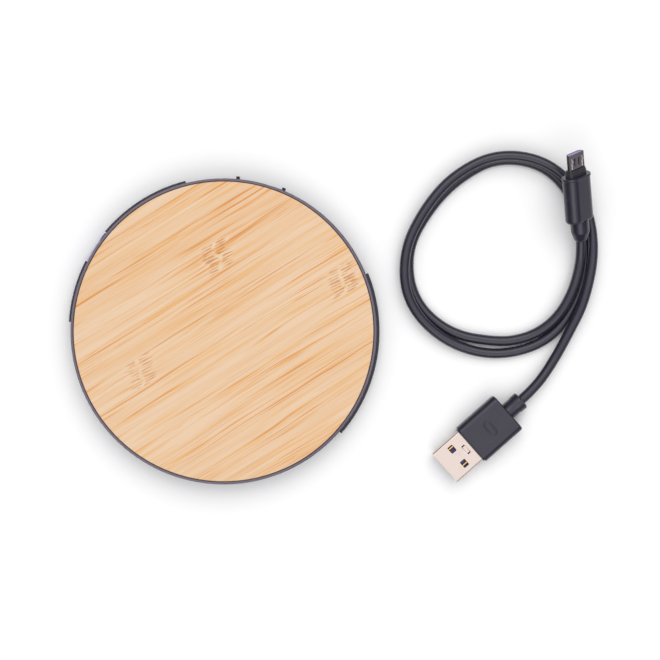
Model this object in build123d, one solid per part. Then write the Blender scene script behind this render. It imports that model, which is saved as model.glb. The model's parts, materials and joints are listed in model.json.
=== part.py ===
from build123d import *
import math
import os

# A round wireless charging pad with its loose charging cable. Sizes are in millimetres, +Z is up,
# and the origin is on the table under the middle of the pad.

# Pad: heights from the table up
foot_height = 1.0
base_bottom = 0.6
base_floor_top = 2.0
board_bottom = 3.2
board_top = 4.2
case_split = 6.2
deck_bottom = 7.1
deck_top = 7.9
adhesive_thickness = 0.1
bamboo_top = 9.0
rim_top = 9.05

# Pad: radii
bamboo_radius = 47.6
bamboo_pocket_radius = 47.75
bezel_radius = 48.6
base_radius = 48.75
grip_radius = 49.6
light_lens_radius = 49.3
base_inner_radius = 47.3
tongue_outer_radius = 47.1
tongue_inner_radius = 45.9

# Pad: directions round the rim, in degrees
port_angle = 76.0
port_rib_offset = 8.8
light_angle = 146.5
grip_spans = [(-41.0, 22.0), (104.5, 140.0), (153.0, 176.5)]
case_screw_angles = [45.0, 135.0, 225.0, 315.0]
board_screw_angles = [10.0, 130.0, 250.0]

# Pad: fasteners and feet
case_screw_circle = 38.0
case_screw_diameter = 2.0
case_screw_head = 4.0
case_screw_bottom = 1.15
case_screw_head_top = 2.3
case_screw_tip = 6.9
case_boss_bottom = 4.65
board_screw_circle = 29.0
board_screw_diameter = 1.6
board_screw_head = 3.2
thread_clearance = 0.02
foot_diameter = 9.0

# Pad: openings in the wall
port_slot_height = 3.1
port_slot_margin = 0.5
light_half_angle = 6.3
light_bottom = 3.8
light_top = 5.6

# Pad: board, coil and socket
board_radius = 33.0
board_tab_width = 14.0
board_tab_reach = 46.4
ferrite_radius = 23.5
ferrite_bottom = 4.3
ferrite_top = 5.3
coil_wire = 1.0
coil_first_radius = 10.2
coil_pitch = 1.17
coil_turns = 10
coil_middle = 5.88
lead_slot_width = 1.3
lead_slot_length = 28.0
socket_width = 7.45
socket_height = 2.4
socket_depth = 5.2
socket_wall = 0.25
socket_mouth_reach = 47.3
socket_contact_pitch = 0.65

# Pad: chips on the board, each place as (angle, radius)
controller_radius = 37.5
inductor_angle = 320.0
chip_circle = 28.6
mosfet_places = [(24, chip_circle), (47, chip_circle), (105, chip_circle), (117, chip_circle)]
resonant_places = [(160, chip_circle), (172, chip_circle), (184, chip_circle), (196, chip_circle)]
input_places = [(68.2, 37.5), (83.8, 37.5), (68.6, 41.4)]
resistor_places = [(angle, 29.5) for angle in range(208, 242, 6)]
crystal_places = [(62.0, chip_circle)]
status_led_places = [(light_angle - 2.0, 31.6), (light_angle + 2.0, 31.6)]

# Cable
cord_diameter = 3.2

# USB-A plug: where it lies, then its lengths along its own +X from the end of its boot
usb_a_boot_end = (94.95, -21.85, 3.8)
usb_a_heading = 221.5
usb_a_mould_start = 5.8
usb_a_shell_start = 14.5
usb_a_mould_end = 21.5
usb_a_tip = 32.8
usb_a_width = 12.0
usb_a_height = 4.5
usb_a_wall = 0.3
usb_a_mould_width = 14.2
usb_a_mould_height = 7.5

# Micro-USB plug: where it lies, then its lengths along its own +X from the end of its boot
micro_boot_end = (113.65, 29.1, 7.1)
micro_heading = 97.2
micro_pitch = 22.0
micro_roll = 40.0
micro_mould_start = 6.4
micro_shell_start = 17.0
micro_mould_end = 21.8
micro_collar_end = 24.0
micro_tip = 29.1
micro_width = 6.85
micro_height = 1.8
micro_mould_width = 10.2
micro_mould_height = 5.8
micro_nose_width = 7.5
micro_nose_height = 3.1
micro_nose_rounding = 0.9
micro_contact_pitch = 0.65
latch_pivot = micro_collar_end + 0.35
latch_side = 2.35
latch_height = 0.775
latch_width = 0.46

# The cord's route from the USB-A plug, round two loose turns, to the micro-USB plug
cord_route = [
    (94.95, -21.85, 3.8),
    (99.75, -17.6, 3.8),
    (105.6, -9.0, 3.1),
    (110.35, -0.1, 3.7),
    (115.2, 9.6, 4.5),
    (118.6, 26.1, 4.4),
    (115.6, 42.0, 4.1),
    (103.85, 54.4, 4.85),
    (87.4, 57.05, 4.85),
    (73.4, 50.15, 4.85),
    (64.05, 39.5, 4.85),
    (57.15, 25.65, 4.85),
    (58.1, 9.15, 4.6),
    (70.3, -3.55, 3.0),
    (87.4, -8.3, 1.65),
    (104.7, -3.1, 1.65),
    (114.0, 11.0, 1.65),
    (116.5, 26.2, 1.65),
    (113.0, 41.3, 1.65),
    (103.3, 53.2, 1.65),
    (87.6, 55.95, 1.65),
    (74.6, 48.85, 1.65),
    (65.25, 38.9, 1.65),
    (58.25, 25.85, 1.65),
    (60.2, 9.95, 1.65),
    (71.95, -0.85, 1.65),
    (87.6, -3.5, 1.65),
    (96.2, -2.3, 1.65),
    (103.1, 1.2, 2.4),
    (108.2, 6.7, 4.0),
    (111.55, 13.5, 4.45),
    (113.3, 19.8, 4.45),
    (113.85, 24.5, 5.3),
    (113.65, 29.1, 7.1),
]

up = (Align.CENTER, Align.CENTER, Align.MIN)
forward = (Align.MIN, Align.CENTER, Align.CENTER)


def disc(radius, low, high):
    return Pos(0, 0, low) * Cylinder(radius, high - low, align=up)


def ring(inner, outer, low, high):
    return disc(outer, low, high) - disc(inner, low - 1, high + 1)


def ring_sector(inner, outer, start, stop, low, high):
    outside = CenterArc((0, 0), outer, start, stop - start)
    inside = CenterArc((0, 0), inner, start, stop - start)
    sides = [Line(outside @ 0, inside @ 0), Line(outside @ 1, inside @ 1)]
    return Pos(0, 0, low) * extrude(make_face([outside, inside] + sides), high - low)


def at_polar(angle, radius, height):
    return Rot(0, 0, angle) * Pos(radius, 0, height)


def post(angle, circle, radius, low, high):
    return at_polar(angle, circle, low) * Cylinder(radius, high - low, align=up)


def block(length, width, low, high, angle, radius):
    return at_polar(angle, radius, low) * Box(length, width, high - low, align=up)


def bar(start, stop, width, height, rounding):
    """A bar along local X from start to stop, with rounded long edges."""
    section = Plane.YZ.offset(start) * RectangleRounded(width, height, rounding)
    return extrude(section, stop - start)


def plane_bar(start, stop, points):
    section = Plane.YZ.offset(start) * make_face(Polyline(points, close=True))
    return extrude(section, stop - start)


def tube(points, radii, diameter):
    path = FilletPolyline(*points, radius=radii)
    start = Plane(origin=path @ 0, z_dir=path % 0)
    return sweep(start * Circle(diameter / 2), path=path)


# ---- pad ----

def make_bamboo_disc():
    top = disc(bamboo_radius, deck_top + adhesive_thickness, bamboo_top)
    return chamfer(top.edges().group_by(Axis.Z)[-1], 0.2)


def make_bamboo_adhesive():
    return disc(bamboo_radius - 1.2, deck_top, deck_top + adhesive_thickness)


def port_cut():
    width = socket_width + 2 * port_slot_margin
    middle = board_top + socket_height / 2 + 0.05
    slot = Plane.YZ.offset(tongue_inner_radius - 2) * RectangleRounded(width, port_slot_height, 1.0)
    return Rot(0, 0, port_angle) * Pos(0, 0, middle) * extrude(slot, 10.0)


def light_cut():
    inside = tongue_inner_radius - 1
    start = light_angle - light_half_angle
    stop = light_angle + light_half_angle
    return ring_sector(inside, grip_radius + 2, start, stop, light_bottom, light_top)


def make_top_shell():
    shell = disc(bezel_radius, case_split + 0.05, rim_top)
    shell = fillet(shell.edges().group_by(Axis.Z)[-1], 0.45)
    shell -= disc(bamboo_pocket_radius, deck_top, rim_top + 1)
    shell -= disc(tongue_outer_radius, case_split - 1, deck_bottom)
    shell += ring(tongue_inner_radius, tongue_outer_radius, case_split - 1.5, deck_bottom)
    shell += ring(tongue_inner_radius + 0.2, bezel_radius - 0.6, case_split + 0.05, deck_bottom)
    for angle in case_screw_angles:
        thread = case_screw_diameter / 2 + thread_clearance
        shell += post(angle, case_screw_circle, 2.7, case_boss_bottom, deck_bottom)
        shell -= post(angle, case_screw_circle, thread, case_boss_bottom - 1, case_screw_tip + 0.05)
    return shell - port_cut() - light_cut()


def make_base_shell():
    shell = disc(base_radius, base_bottom, case_split)
    shell = fillet(shell.edges().group_by(Axis.Z)[0], 1.2)
    for start, stop in grip_spans:
        grip = ring_sector(base_radius - 0.8, grip_radius, start, stop, 2.0, 5.7)
        rims = grip.edges().filter_by(GeomType.CIRCLE).filter_by(lambda edge: edge.radius > base_radius)
        shell += chamfer(rims, 0.35)
    for side in (-port_rib_offset, port_rib_offset):
        shell += block(1.8, 1.1, 3.0, 5.9, port_angle + side, grip_radius - 0.9)
    shell -= disc(base_inner_radius, base_floor_top, case_split + 1)
    shell -= disc(26.0, base_bottom - 1, base_bottom + 0.2)
    for angle in case_screw_angles:
        shell += post(angle, case_screw_circle, 3.2, base_floor_top - 0.2, case_boss_bottom - 0.05)
        shell -= post(angle, case_screw_circle, case_screw_diameter / 2 + 0.15, 0, case_boss_bottom + 1)
        shell -= post(angle, case_screw_circle, case_screw_head / 2 + 0.2, 0, case_screw_head_top)
        shell -= post(angle, case_screw_circle, foot_diameter / 2 + 0.15, 0, foot_height)
    for angle in board_screw_angles:
        thread = board_screw_diameter / 2 + thread_clearance
        shell += post(angle, board_screw_circle, 2.4, base_floor_top - 0.2, board_bottom)
        shell -= post(angle, board_screw_circle, thread, base_floor_top - 0.6, board_bottom + 1)
    return shell - port_cut() - light_cut()


def make_foot(angle):
    foot = post(angle, case_screw_circle, foot_diameter / 2, 0, foot_height)
    return fillet(foot.edges().group_by(Axis.Z)[0], 0.3)


def make_screw(head_diameter, head_height, diameter, length):
    """A pan screw standing on its head, with a cross recess in the head's lower face."""
    head = Cylinder(head_diameter / 2, head_height, align=up)
    for turn in (0, 90):
        head -= Rot(0, 0, turn) * Box(head_diameter * 0.6, diameter * 0.25, 0.9)
    return head + Pos(0, 0, head_height) * Cylinder(diameter / 2, length, align=up)


def make_case_screws():
    head_height = case_screw_head_top - case_screw_bottom
    length = case_screw_tip - case_screw_head_top
    screw = make_screw(case_screw_head, head_height, case_screw_diameter, length)
    return [at_polar(angle, case_screw_circle, case_screw_bottom) * screw for angle in case_screw_angles]


def make_board_screws():
    head_height = 0.8
    length = board_top - base_floor_top + 0.5
    screw = Rot(180, 0, 0) * make_screw(board_screw_head, head_height, board_screw_diameter, length)
    top = board_top + head_height
    return [at_polar(angle, board_screw_circle, top) * screw for angle in board_screw_angles]


def make_circuit_board():
    board = disc(board_radius, board_bottom, board_top)
    tab_length = board_tab_reach / 2
    tab_middle = board_tab_reach - tab_length / 2
    board += block(tab_length, board_tab_width, board_bottom, board_top, port_angle, tab_middle)
    hole_radius = board_screw_diameter / 2 + 0.2
    for angle in board_screw_angles:
        board -= post(angle, board_screw_circle, hole_radius, board_bottom - 1, board_top + 1)
    return board


def make_ferrite_tape():
    return disc(ferrite_radius, board_top, ferrite_bottom)


def lead_slot():
    """The way out for the coil's inner lead, from the first turn to past the ferrite's edge."""
    slot = Box(lead_slot_width, lead_slot_length, 2.0, align=up)
    return Pos(coil_first_radius, -0.6 - lead_slot_length / 2, ferrite_bottom - 0.3) * slot


def make_ferrite_shield():
    return disc(ferrite_radius, ferrite_bottom, ferrite_top) - lead_slot()


def make_coil_tape():
    inside = coil_first_radius - 0.6
    return ring(inside, ferrite_radius - 0.9, ferrite_top, coil_middle - coil_wire / 2) - lead_slot()


def make_transmitter_coil():
    arcs = []
    side = 1
    reach = coil_first_radius
    for half_turn in range(2 * coil_turns):
        radius = reach + coil_pitch / 4
        centre = -side * coil_pitch / 4
        start = 0 if side > 0 else 180
        arcs.append(CenterArc((centre, 0, coil_middle), radius, start, 180))
        reach += coil_pitch / 2
        side = -side
    path = Wire(arcs)
    start = Plane(origin=path @ 0, z_dir=path % 0)
    return sweep(start * Circle(coil_wire / 2), path=path)


def make_coil_leads():
    inner_x = coil_first_radius
    outer_x = coil_first_radius + coil_turns * coil_pitch
    low = ferrite_bottom + coil_wire / 2
    inner = [
        (inner_x, 0, coil_middle),
        (inner_x, -0.9, coil_middle - 0.1),
        (inner_x, -3.3, low),
        (inner_x, -27.0, low),
    ]
    outer = [
        (outer_x, 0, coil_middle),
        (outer_x, 9.0, coil_middle),
        (outer_x, 12.6, low),
        (outer_x, 16.5, low),
    ]
    return [tube(inner, [0.6, 0.8], coil_wire * 0.96), tube(outer, [1.0, 1.0], coil_wire * 0.96)]


def socket_frame():
    return Rot(0, 0, port_angle) * Pos(socket_mouth_reach, 0, board_top + socket_height / 2)


def usb_outline(width, height, cut):
    """Points of a micro-USB section in YZ: full width below, with its two upper corners cut off."""
    half = width / 2
    top = height / 2
    lower = [(-half, -top), (half, -top)]
    upper = [(half, top - cut), (half - cut, top), (cut - half, top), (-half, top - cut)]
    return lower + upper


def micro_outline(width, height, cut):
    """The section of the micro-USB plug, which has its hooks on the full-width side, so that side is up."""
    return [(-across, -high) for across, high in usb_outline(width, height, cut)]


def make_usb_socket_shell():
    outer = plane_bar(-socket_depth, 0, usb_outline(socket_width, socket_height, 0.75))
    mouth = usb_outline(socket_width - 2 * socket_wall, socket_height - 2 * socket_wall, 0.65)
    inner = plane_bar(-socket_depth + 0.3, 1, mouth)
    shell = outer - inner
    leg = Box(1.6, 0.9, 0.3, align=up)
    for side in (-1, 1):
        shell += Pos(-3.4, side * (socket_width / 2 + 0.35), -socket_height / 2) * leg
    return socket_frame() * shell


def make_usb_socket_tongue():
    back = plane_bar(-socket_depth + 0.3, -socket_depth + 1.1, usb_outline(6.9, 1.85, 0.6))
    tongue = Pos(-socket_depth + 1.1, 0, -0.1) * Box(3.3, 3.8, 0.55, align=forward)
    return socket_frame() * (back + tongue)


def make_usb_socket_contacts():
    strips = []
    for index in range(5):
        place = (index - 2) * socket_contact_pitch
        strip = Pos(-socket_depth + 1.1, place, 0.235) * Box(3.1, 0.3, 0.12, align=forward)
        strips.append(socket_frame() * strip)
    return strips


def chips(places, length, width, height):
    top = board_top + height
    return [block(length, width, board_top, top, angle, radius) for angle, radius in places]


def make_controller_chip():
    body = block(5.0, 5.0, board_top, board_top + 0.9, port_angle, controller_radius)
    body = chamfer(body.edges().filter_by(Axis.Z), 0.25)
    pin_mark = Pos(-1.7, 1.7, 0) * Cylinder(0.25, 1, align=up)
    return body - at_polar(port_angle, controller_radius, board_top + 0.8) * pin_mark


def make_power_inductor():
    core = block(5.8, 5.8, board_top, board_top + 2.5, inductor_angle, chip_circle + 0.2)
    core = fillet(core.edges().filter_by(Axis.Z), 1.0)
    return core - post(inductor_angle, chip_circle + 0.2, 1.9, board_top + 2.35, board_top + 3)


def make_light_guide():
    half = light_half_angle - 0.2
    start = light_angle - half
    stop = light_angle + half
    low = light_bottom + 0.1
    lens = ring_sector(base_inner_radius - 0.1, light_lens_radius, start, stop, low, light_top - 0.1)
    tip = board_radius - 0.4
    root = base_inner_radius + 0.1
    guide_points = [(tip, -1.6), (root, -3.0), (root, 3.0), (tip, 1.6)]
    guide = Pos(0, 0, board_top + 0.2) * extrude(make_face(Polyline(guide_points, close=True)), 0.9)
    return lens + Rot(0, 0, light_angle) * guide


def make_thermistor():
    bead = Pos(0, 0, ferrite_top) * Cylinder(1.5, 1.0, align=up)
    return fillet(bead.edges().group_by(Axis.Z)[-1], 0.4)


# ---- USB-A plug ----

def place_usb_a(piece):
    return Pos(*usb_a_boot_end) * Rot(0, 0, usb_a_heading) * piece


def make_usb_a_shell():
    inner_width = usb_a_width - 2 * usb_a_wall
    inner_height = usb_a_height - 2 * usb_a_wall
    shell = bar(usb_a_shell_start, usb_a_tip, usb_a_width, usb_a_height, 0.6)
    shell -= bar(usb_a_shell_start - 1, usb_a_tip + 1, inner_width, inner_height, 0.35)
    for side in (-1, 1):
        window = extrude(Pos(usb_a_tip - 5.7, side * 3.0, -4) * RectangleRounded(1.95, 2.4, 0.3), 8)
        shell -= window
    emboss = Pos(usb_a_tip - 9.2, 0, 2.0) * Box(1.2, 3.0, 0.35, align=up)
    return place_usb_a(shell + emboss)


def make_usb_a_insulator():
    thickness = 1.9
    width = usb_a_width - 2 * usb_a_wall - 0.1
    bed = bar(usb_a_shell_start + 0.3, usb_a_tip - 0.5, width, thickness, 0.2)
    return place_usb_a(Pos(0, 0, -thickness / 2) * bed)


def make_usb_a_contacts():
    strips = []
    for place, length in ((-3.5, 9.4), (-1.0, 8.4), (1.0, 8.4), (3.5, 9.4)):
        strip = Pos(usb_a_tip - 1.2 - length, place, 0.11) * Box(length, 0.7, 0.2, align=forward)
        strips.append(place_usb_a(strip))
    return strips


def make_usb_a_inner_mould():
    core = Pos(usb_a_mould_start + 2.2, 0, 0) * Box(6.4, 9.5, 4.0, align=forward)
    return place_usb_a(fillet(core.edges().filter_by(Axis.X), 1.0))


def stadium_groove(middle, height):
    """The outline of a plain pill, cut into the grip's upper face."""
    outer = bar(0, 1, 2.2, 5.4, 1.05)
    inner = bar(-1, 2, 1.4, 4.6, 0.65)
    return Pos(middle, 0, height) * Rot(0, -90, 0) * (outer - inner)


def make_usb_a_overmould():
    width = usb_a_mould_width
    height = usb_a_mould_height
    body = bar(usb_a_mould_start, usb_a_mould_end, width, height, 2.2)
    body = fillet(body.faces().sort_by(Axis.X)[0].edges(), 0.7)
    lip = bar(usb_a_mould_end - 0.1, usb_a_mould_end + 0.5, width - 1, height - 1, 1.8)
    boot = Rot(0, 90, 0) * Cone(2.75, 3.0, usb_a_mould_start + 0.5, align=up)
    boot_end = Rot(0, 90, 0) * Cylinder(3.0, 1.0, align=up)
    body = body + lip + boot + fillet(boot_end.edges(), 0.3)
    body -= stadium_groove((usb_a_mould_start + usb_a_mould_end) / 2, height / 2 - 0.15)
    pocket_start = usb_a_shell_start - 0.1
    body -= bar(pocket_start, usb_a_mould_end + 1, usb_a_width + 0.05, usb_a_height + 0.05, 0.6)
    body -= Pos(usb_a_mould_start + 2.1, 0, 0) * Box(6.6, 9.6, 4.1, align=forward)
    return place_usb_a(body)


# ---- micro-USB plug, with its hooks on its own +Z face ----

def place_micro(piece):
    turned = Rot(0, 0, micro_heading) * Rot(0, -micro_pitch, 0) * Rot(micro_roll, 0, 0)
    return Pos(*micro_boot_end) * turned * piece


def make_micro_shell():
    shell = plane_bar(micro_shell_start, micro_tip, micro_outline(micro_width, micro_height, 0.7))
    shell = fillet(shell.edges().filter_by(Axis.X), 0.2)
    inside = micro_outline(micro_width - 0.5, micro_height - 0.5, 0.55)
    shell -= plane_bar(micro_shell_start - 1, micro_tip + 1, inside)
    for side in (-1, 1):
        slot = Box(3.7, latch_width + 0.16, 1.0, align=forward)
        shell -= Pos(latch_pivot - 0.1, side * latch_side, 0.4) * slot
        oval = Pos(micro_collar_end + 2.4, side * 1.05, micro_height / 2 - 0.05) * SlotOverall(2.5, 0.8)
        shell += extrude(oval, 0.13)
    return place_micro(shell)


def make_micro_insulator():
    section = micro_outline(micro_width - 0.6, micro_height - 0.6, 0.55)
    core = plane_bar(micro_shell_start + 0.3, micro_tip - 0.35, section)
    for side in (-1, 1):
        core -= Pos(latch_pivot - 0.3, side * latch_side, 0.5) * Box(4.1, 0.8, 1.3, align=forward)
    core -= Pos(micro_shell_start + 3, 0, -0.6) * Box(10.0, 4.0, 0.5, align=forward)
    return place_micro(core)


def make_micro_contacts():
    strips = []
    for index in range(5):
        place = (index - 2) * micro_contact_pitch
        strip = Pos(micro_collar_end + 0.2, place, -0.42) * Box(4.0, 0.35, 0.13, align=forward)
        strips.append(place_micro(strip))
    return strips


def make_micro_latch(side):
    arm = Pos(0, 0, latch_height) * Box(3.5, latch_width, 0.2, align=forward)
    hook_points = [(1.9, 0.8), (2.3, 1.28), (2.6, 1.28), (3.45, 0.8)]
    hook = extrude(Plane.XZ * make_face(Polyline(hook_points, close=True)), latch_width / 2, both=True)
    return place_micro(Pos(latch_pivot, side * latch_side, 0) * (arm + hook))


def make_micro_inner_mould():
    start = micro_mould_end - 1.0
    nose = bar(start, micro_collar_end, micro_nose_width, micro_nose_height, micro_nose_rounding)
    body = bar(9.0, start, 7.6, 3.6, 1.2)
    bore = micro_outline(micro_width + 0.05, micro_height + 0.05, 0.7)
    return place_micro(nose + body - plane_bar(micro_shell_start - 0.1, micro_tip + 1, bore))


def make_micro_overmould():
    body = bar(micro_mould_start, micro_mould_end, micro_mould_width, micro_mould_height, 2.8)
    body = fillet(body.faces().sort_by(Axis.X)[0].edges(), 1.2)
    lip_height = micro_mould_height + 0.3
    lip = bar(micro_mould_end - 0.9, micro_mould_end, micro_mould_width + 0.6, lip_height, 3.0)
    boot = Rot(0, 90, 0) * Cone(2.3, 3.0, micro_mould_start + 0.5, align=up)
    body = body + lip + boot
    width = micro_nose_width + 0.05
    height = micro_nose_height + 0.05
    body -= bar(micro_mould_end - 1.05, micro_mould_end + 1, width, height, micro_nose_rounding)
    return place_micro(body - bar(8.95, micro_mould_end, 7.65, 3.65, 1.2))


# ---- cord ----

def corner_radii(points):
    radii = []
    for before, corner, after in zip(points, points[1:], points[2:]):
        arriving = Vector(*corner) - Vector(*before)
        leaving = Vector(*after) - Vector(*corner)
        half_turn = math.radians(arriving.get_angle(leaving)) / 2
        radii.append(0.45 * min(arriving.length, leaving.length) / math.tan(half_turn))
    return radii


def make_cord():
    radii = corner_radii(cord_route)
    cord = tube(cord_route, radii, cord_diameter)
    length = FilletPolyline(*cord_route, radius=radii).length
    plain_volume = math.pi * cord_diameter ** 2 / 4 * length
    print("cord radii", [round(radius, 1) for radius in radii])
    print("cord length", round(length, 1))
    print("cord volume over section x length", round(cord.volume / plain_volume, 4))
    return cord


def export(name, piece):
    if isinstance(piece, list):
        piece = Compound(children=piece)
    piece.label = name
    export_step(piece, f"parts/{name}.step")


os.makedirs("parts", exist_ok=True)

export("bamboo_disc", make_bamboo_disc())
export("bamboo_adhesive", make_bamboo_adhesive())
export("top_shell", make_top_shell())
export("base_shell", make_base_shell())
for number, foot_angle in enumerate(case_screw_angles, start=1):
    export(f"foot_{number}", make_foot(foot_angle))
export("case_screws", make_case_screws())
export("board_screws", make_board_screws())
export("circuit_board", make_circuit_board())
export("ferrite_tape", make_ferrite_tape())
export("ferrite_shield", make_ferrite_shield())
export("coil_tape", make_coil_tape())
export("transmitter_coil", make_transmitter_coil())
export("coil_leads", make_coil_leads())
export("thermistor", make_thermistor())
export("usb_socket_shell", make_usb_socket_shell())
export("usb_socket_tongue", make_usb_socket_tongue())
export("usb_socket_contacts", make_usb_socket_contacts())
export("controller_chip", make_controller_chip())
export("power_inductor", make_power_inductor())
export("bridge_mosfets", chips(mosfet_places, 3.3, 3.3, 0.8))
export("resonant_capacitors", chips(resonant_places, 3.2, 2.5, 2.0))
export("input_capacitors", chips(input_places, 3.2, 1.6, 1.6))
export("chip_resistors", chips(resistor_places, 1.6, 0.8, 0.5))
export("timing_crystal", chips(crystal_places, 3.2, 2.5, 0.8))
export("status_leds", chips(status_led_places, 0.8, 1.6, 0.7))
export("light_guide", make_light_guide())

export("usb_a_shell", make_usb_a_shell())
export("usb_a_insulator", make_usb_a_insulator())
export("usb_a_contacts", make_usb_a_contacts())
export("usb_a_inner_mould", make_usb_a_inner_mould())
export("usb_a_overmould", make_usb_a_overmould())
export("cord", make_cord())
export("micro_shell", make_micro_shell())
export("micro_insulator", make_micro_insulator())
export("micro_contacts", make_micro_contacts())
export("micro_inner_mould", make_micro_inner_mould())
export("micro_overmould", make_micro_overmould())
export("micro_latch_left", make_micro_latch(1))
export("micro_latch_right", make_micro_latch(-1))
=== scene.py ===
import json
import math

import bmesh
import bpy
from mathutils import Matrix, Vector


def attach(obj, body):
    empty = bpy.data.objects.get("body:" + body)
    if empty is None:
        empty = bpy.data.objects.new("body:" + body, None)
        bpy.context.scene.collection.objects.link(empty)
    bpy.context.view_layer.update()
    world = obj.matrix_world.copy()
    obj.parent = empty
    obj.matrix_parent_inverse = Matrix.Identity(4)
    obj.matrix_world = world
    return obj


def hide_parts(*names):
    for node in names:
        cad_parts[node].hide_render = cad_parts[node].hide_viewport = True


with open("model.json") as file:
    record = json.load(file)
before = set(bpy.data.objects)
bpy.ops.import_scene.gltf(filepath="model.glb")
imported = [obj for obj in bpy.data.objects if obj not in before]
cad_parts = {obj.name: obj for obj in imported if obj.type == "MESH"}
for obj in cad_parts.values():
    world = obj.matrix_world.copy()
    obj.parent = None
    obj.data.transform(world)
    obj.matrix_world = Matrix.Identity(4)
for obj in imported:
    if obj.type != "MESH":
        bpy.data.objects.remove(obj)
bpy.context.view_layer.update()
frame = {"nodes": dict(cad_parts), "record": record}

# Wireless charging pad with a bamboo top and its loose charging cable.
# Metres, in the CAD frame: the pad's middle is the origin, the table is z = 0.

mm = 0.001
nodes = frame["nodes"]


# ---------- helpers for modelling, with sizes and places in millimetres ----------

def deselectAll():
    bpy.ops.object.select_all(action="DESELECT")


def activate(piece):
    deselectAll()
    piece.select_set(True)
    bpy.context.view_layer.objects.active = piece


def objectMode():
    bpy.ops.object.mode_set(mode="OBJECT")


def applyAll(piece):  # place, turn and modifiers go into the mesh
    activate(piece)
    bpy.ops.object.transform_apply(location=True, rotation=True, scale=True)
    for modifier in list(piece.modifiers):
        bpy.ops.object.modifier_apply(modifier=modifier.name)


def addModifier(piece, kind, **settings):
    modifier = piece.modifiers.new(kind.lower(), kind)
    for name, value in settings.items():
        setattr(modifier, name, value)
    applyAll(piece)


def select(piece, kind, wanted):  # leaves edit mode on, with the wanted faces or edges selected
    activate(piece)
    bpy.ops.object.mode_set(mode="EDIT")
    bpy.ops.mesh.select_mode(type=kind)
    bpy.ops.mesh.select_all(action="DESELECT")
    mesh = bmesh.from_edit_mesh(piece.data)
    for part in mesh.faces if kind == "FACE" else mesh.edges:
        part.select = bool(wanted(part))
    mesh.select_flush_mode()
    bmesh.update_edit_mesh(piece.data)


def alongAxis(edge, axis):
    way = (edge.verts[1].co - edge.verts[0].co).normalized()
    return abs(way[axis]) > 0.99


def facing(face, axis, sign):
    return face.normal[axis] * sign > 0.99


def bevelEdges(piece, wanted, width, segments):
    select(piece, "EDGE", wanted)
    bpy.ops.mesh.bevel(offset=width * mm, segments=segments, affect="EDGES", clamp_overlap=True)
    objectMode()


def bevelEnd(piece, axis, level, width, segments):  # rounds the rim of an end face at a level
    def onLevel(edge):
        return all(abs(corner.co[axis] / mm - level) < 0.001 for corner in edge.verts)
    bevelEdges(piece, onLevel, width, segments)


def addBox(name, low, high):  # from its lowest to its highest corner
    deselectAll()
    middle = [(a + b) / 2 * mm for a, b in zip(low, high)]
    bpy.ops.mesh.primitive_cube_add(size=mm, location=middle)
    piece = bpy.context.object
    piece.name = name
    piece.scale = [b - a for a, b in zip(low, high)]
    applyAll(piece)
    return piece


def addBar(name, start, stop, width, height, rounding, segments=6):  # along X, its long edges rounded
    piece = addBox(name, (start, -width / 2, -height / 2), (stop, width / 2, height / 2))
    bevelEdges(piece, lambda edge: alongAxis(edge, 0), rounding, segments)
    return piece


def addDisc(name, radius, low, high, place=(0.0, 0.0), sides=64):
    deselectAll()
    middle = (place[0] * mm, place[1] * mm, (low + high) / 2 * mm)
    bpy.ops.mesh.primitive_cylinder_add(
        vertices=sides, radius=radius * mm, depth=(high - low) * mm, location=middle)
    piece = bpy.context.object
    piece.name = name
    applyAll(piece)
    return piece


def addTurned(name, stations, sides=48):  # a round bar along X, through (place, radius) stations
    deselectAll()
    place, radius = stations[0]
    bpy.ops.mesh.primitive_circle_add(
        vertices=sides, radius=radius * mm, fill_type="NGON", location=(place * mm, 0, 0),
        rotation=(0, math.radians(-90), 0))
    piece = bpy.context.object
    piece.name = name
    applyAll(piece)
    select(piece, "FACE", lambda face: True)
    for nextPlace, nextRadius in stations[1:]:
        step = {"value": ((nextPlace - place) * mm, 0, 0)}
        bpy.ops.mesh.extrude_region_move(TRANSFORM_OT_translate=step)
        share = nextRadius / radius
        bpy.ops.transform.resize(value=(1, share, share), center_override=(nextPlace * mm, 0, 0))
        place, radius = nextPlace, nextRadius
    bpy.ops.mesh.select_all(action="SELECT")
    bpy.ops.mesh.normals_make_consistent(inside=False)
    objectMode()
    return piece


def addPill(name, length, width, low, high, place):  # a slot shape, long in Y, standing along Z
    piece = addDisc(name, width / 2, low, high, place, 32)
    reach = (length - width) / 2 * mm
    activate(piece)
    bpy.ops.object.mode_set(mode="EDIT")
    mesh = bmesh.from_edit_mesh(piece.data)
    for corner in mesh.verts:
        away = corner.co.y / mm - place[1]
        if abs(away) > 0.001:
            corner.co.y += math.copysign(reach, away)
    bmesh.update_edit_mesh(piece.data)
    objectMode()
    return piece


def combine(piece, other, operation):
    addModifier(piece, "BOOLEAN", operation=operation, object=other, solver="EXACT")
    bpy.data.objects.remove(other, do_unlink=True)


def pressedOutline(piece, length, width, line, surface, depth, raised, place):
    # a groove round a pill shape, whose middle stands at the surface plus what is raised
    combine(piece, addPill("cutter", length, width, surface - depth, surface + 1, place), "DIFFERENCE")
    inner = addPill("island", length - 2 * line, width - 2 * line, surface - depth - 0.1,
                    surface + raised, place)
    combine(piece, inner, "UNION")


def softenEdges(piece, width, segments=2):
    addModifier(piece, "BEVEL", width=width * mm, segments=segments, limit_method="ANGLE",
                angle_limit=math.radians(40), use_clamp_overlap=True)


def smooth(piece, degrees=35):
    activate(piece)
    bpy.ops.object.shade_smooth_by_angle(angle=math.radians(degrees))


def putAt(piece, place):
    piece.matrix_world = place
    applyAll(piece)


madePieces = []  # each new piece with its finish


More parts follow.
